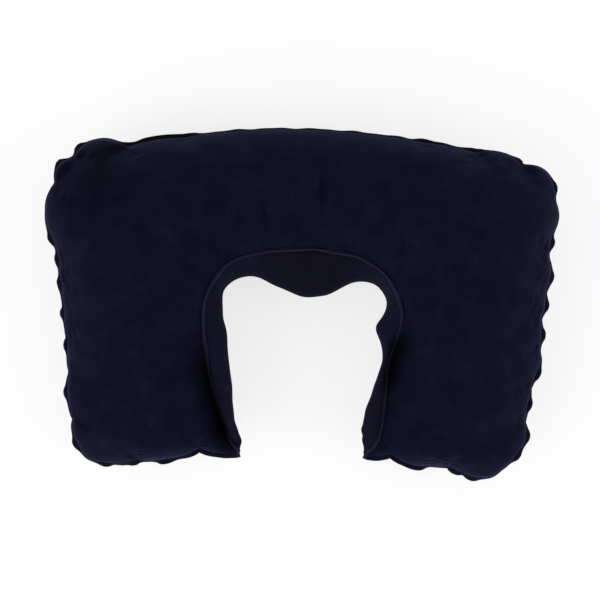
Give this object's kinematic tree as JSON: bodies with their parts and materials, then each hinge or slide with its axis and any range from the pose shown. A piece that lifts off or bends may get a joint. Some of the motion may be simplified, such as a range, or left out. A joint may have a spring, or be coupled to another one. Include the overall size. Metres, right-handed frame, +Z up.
{
  "type": "inflatable neck pillow",
  "caption": "U-shaped inflatable neck pillow of flocked film: two welded panels, a neck wall between them and a push-in air valve with plug.",
  "frame": {"origin": "on the ground, under the middle of the pillow's box, as it lies blown up on its back panel", "axes": "+X to the right leg seen from the front, +Y from the open side of the U to the back of the neck, +Z up out of the front panel"},
  "size_m": [0.4042, 0.272, 0.0875],
  "materials": {
    "flocked_film": "short velvet flock on vinyl film, navy, matt with a soft sheen at grazing angles",
    "valve_vinyl": "soft moulded vinyl, navy, satin gloss"
  },
  "bodies": {
    "pillow": {"front_panel": "flocked_film", "back_panel": "flocked_film", "neck_wall": "flocked_film", "valve_weld_disc": "valve_vinyl", "valve_diaphragm": "valve_vinyl"},
    "stem": {"valve_stem": "valve_vinyl", "plug_strap": "valve_vinyl"},
    "flap": {"valve_flap": "valve_vinyl"},
    "plug": {"valve_plug": "valve_vinyl"}
  },
  "joints": [
    {"name": "stem_slide", "type": "slide", "parent": "pillow", "child": "stem", "axis": [0.0406, -0.3565, -0.9334], "range_m": [0, 0.012], "deforming": ["valve_diaphragm"]},
    {"name": "plug_pull", "type": "slide", "parent": "stem", "child": "plug", "axis": [0.0406, -0.3565, -0.9334], "range_m": [0, 0.008], "deforming": ["plug_strap"]},
    {"name": "flap_hinge", "type": "hinge", "parent": "stem", "child": "flap", "pos_m": [0.12129, -0.09965, 0.02867], "axis": [0.2172, -0.9087, 0.3565], "range_deg": [0, 60], "stiffness_Nm_per_rad": 0.00002}
  ]
}
